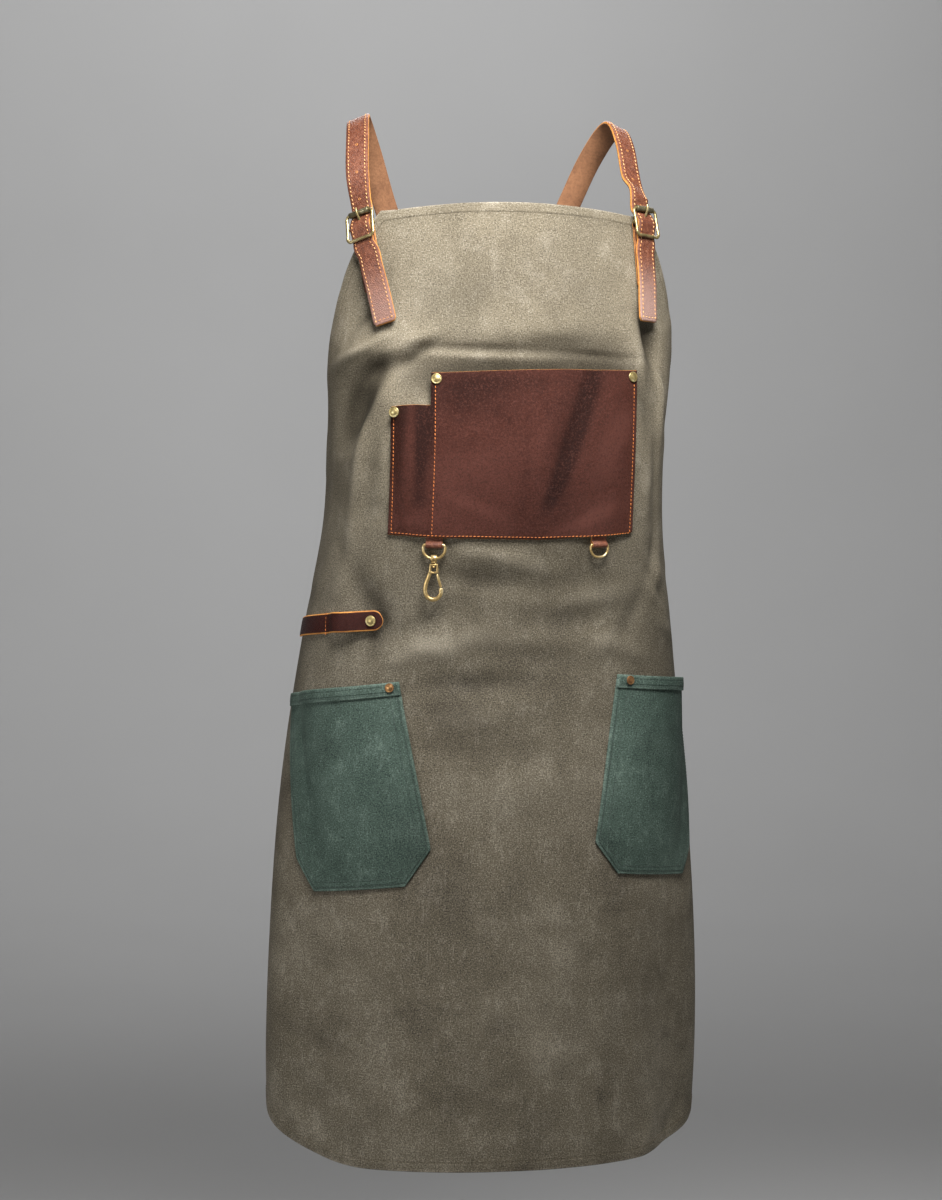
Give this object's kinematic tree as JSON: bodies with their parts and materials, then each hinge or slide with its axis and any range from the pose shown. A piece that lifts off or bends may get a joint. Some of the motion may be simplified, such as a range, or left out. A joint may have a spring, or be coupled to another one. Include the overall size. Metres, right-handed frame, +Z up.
{
  "type": "waxed canvas apron",
  "caption": "Waxed canvas work apron with buckled leather cross-back straps, leather chest pocket with pencil slot, hip pockets, tool loop, rings and a snap hook, in its worn form.",
  "frame": {"origin": "midway between the two shoulder straps, at the height of their undersides where they rest on the shoulders", "axes": "+Z up, the bib and skirt face -Y, +X to the viewer's right from the front"},
  "size_m": [0.411, 0.2591, 0.9672],
  "materials": {
    "waxed_canvas": "waxed olive-brown canvas, mottled",
    "green_canvas": "waxed dark green canvas, mottled",
    "dark_leather": "dark reddish-brown pull-up leather",
    "strap_leather": "grained reddish-brown leather with raw tan edges",
    "rivet_brass": "antique brass, domed",
    "buckle_metal": "pale antique brass, polished high spots",
    "roller_metal": "dark antique metal",
    "ring_brass": "gold antique brass"
  },
  "bodies": {
    "apron": {"canvas_body": "waxed_canvas", "pocket_left": "green_canvas", "pocket_right": "green_canvas", "pocket_left_band": "green_canvas", "pocket_right_band": "green_canvas", "chest_pocket": "dark_leather", "tool_loop": "dark_leather", "strap_left": "strap_leather", "strap_right": "strap_leather", "buckle_left_tab": "strap_leather", "buckle_right_tab": "strap_leather", "ring_tab_left": "strap_leather", "ring_tab_right": "strap_leather", "chest_rivet_slot": "rivet_brass", "chest_rivet_left": "rivet_brass", "chest_rivet_right": "rivet_brass", "pocket_left_rivet": "rivet_brass", "pocket_right_rivet": "rivet_brass", "tool_loop_stud": "rivet_brass", "strap_left_rivet": "rivet_brass", "strap_right_rivet": "rivet_brass", "buckle_left_frame": "buckle_metal", "buckle_left_prong": "buckle_metal", "buckle_right_frame": "buckle_metal", "buckle_right_prong": "buckle_metal", "buckle_left_roller": "roller_metal", "buckle_right_roller": "roller_metal"},
    "ring_left": {"ring_left": "ring_brass"},
    "ring_right": {"ring_right": "ring_brass"},
    "hook_swivel": {"hook_swivel": "ring_brass"},
    "hook": {"hook_body": "ring_brass"},
    "gate": {"hook_gate": "ring_brass"}
  },
  "joints": [
    {"name": "ring_left_swing", "type": "hinge", "parent": "apron", "child": "ring_left", "pos_m": [-0.06921, -0.13128, -0.38798], "axis": [-0.9651, 0.2617, 0], "range_deg": [0, 80]},
    {"name": "ring_right_swing", "type": "hinge", "parent": "apron", "child": "ring_right", "pos_m": [0.08347, -0.1303, -0.38697], "axis": [-0.9603, -0.2791, 0], "range_deg": [0, 80]},
    {"name": "hook_swing", "type": "hinge", "parent": "ring_left", "child": "hook_swivel", "pos_m": [-0.06921, -0.13128, -0.40018], "axis": [-0.9651, 0.2617, 0], "range_deg": [0, 90]},
    {"name": "hook_turn", "type": "hinge", "parent": "hook_swivel", "child": "hook", "pos_m": [-0.06921, -0.13128, -0.40478], "axis": [0, 0, 1], "continuous": true},
    {"name": "hook_gate_open", "type": "hinge", "parent": "hook", "child": "gate", "pos_m": [-0.06592, -0.13217, -0.41518], "axis": [0.2617, 0.9651, 0], "range_deg": [0, 28], "stiffness_Nm_per_rad": 0.004, "springref_deg": -8.59}
  ]
}
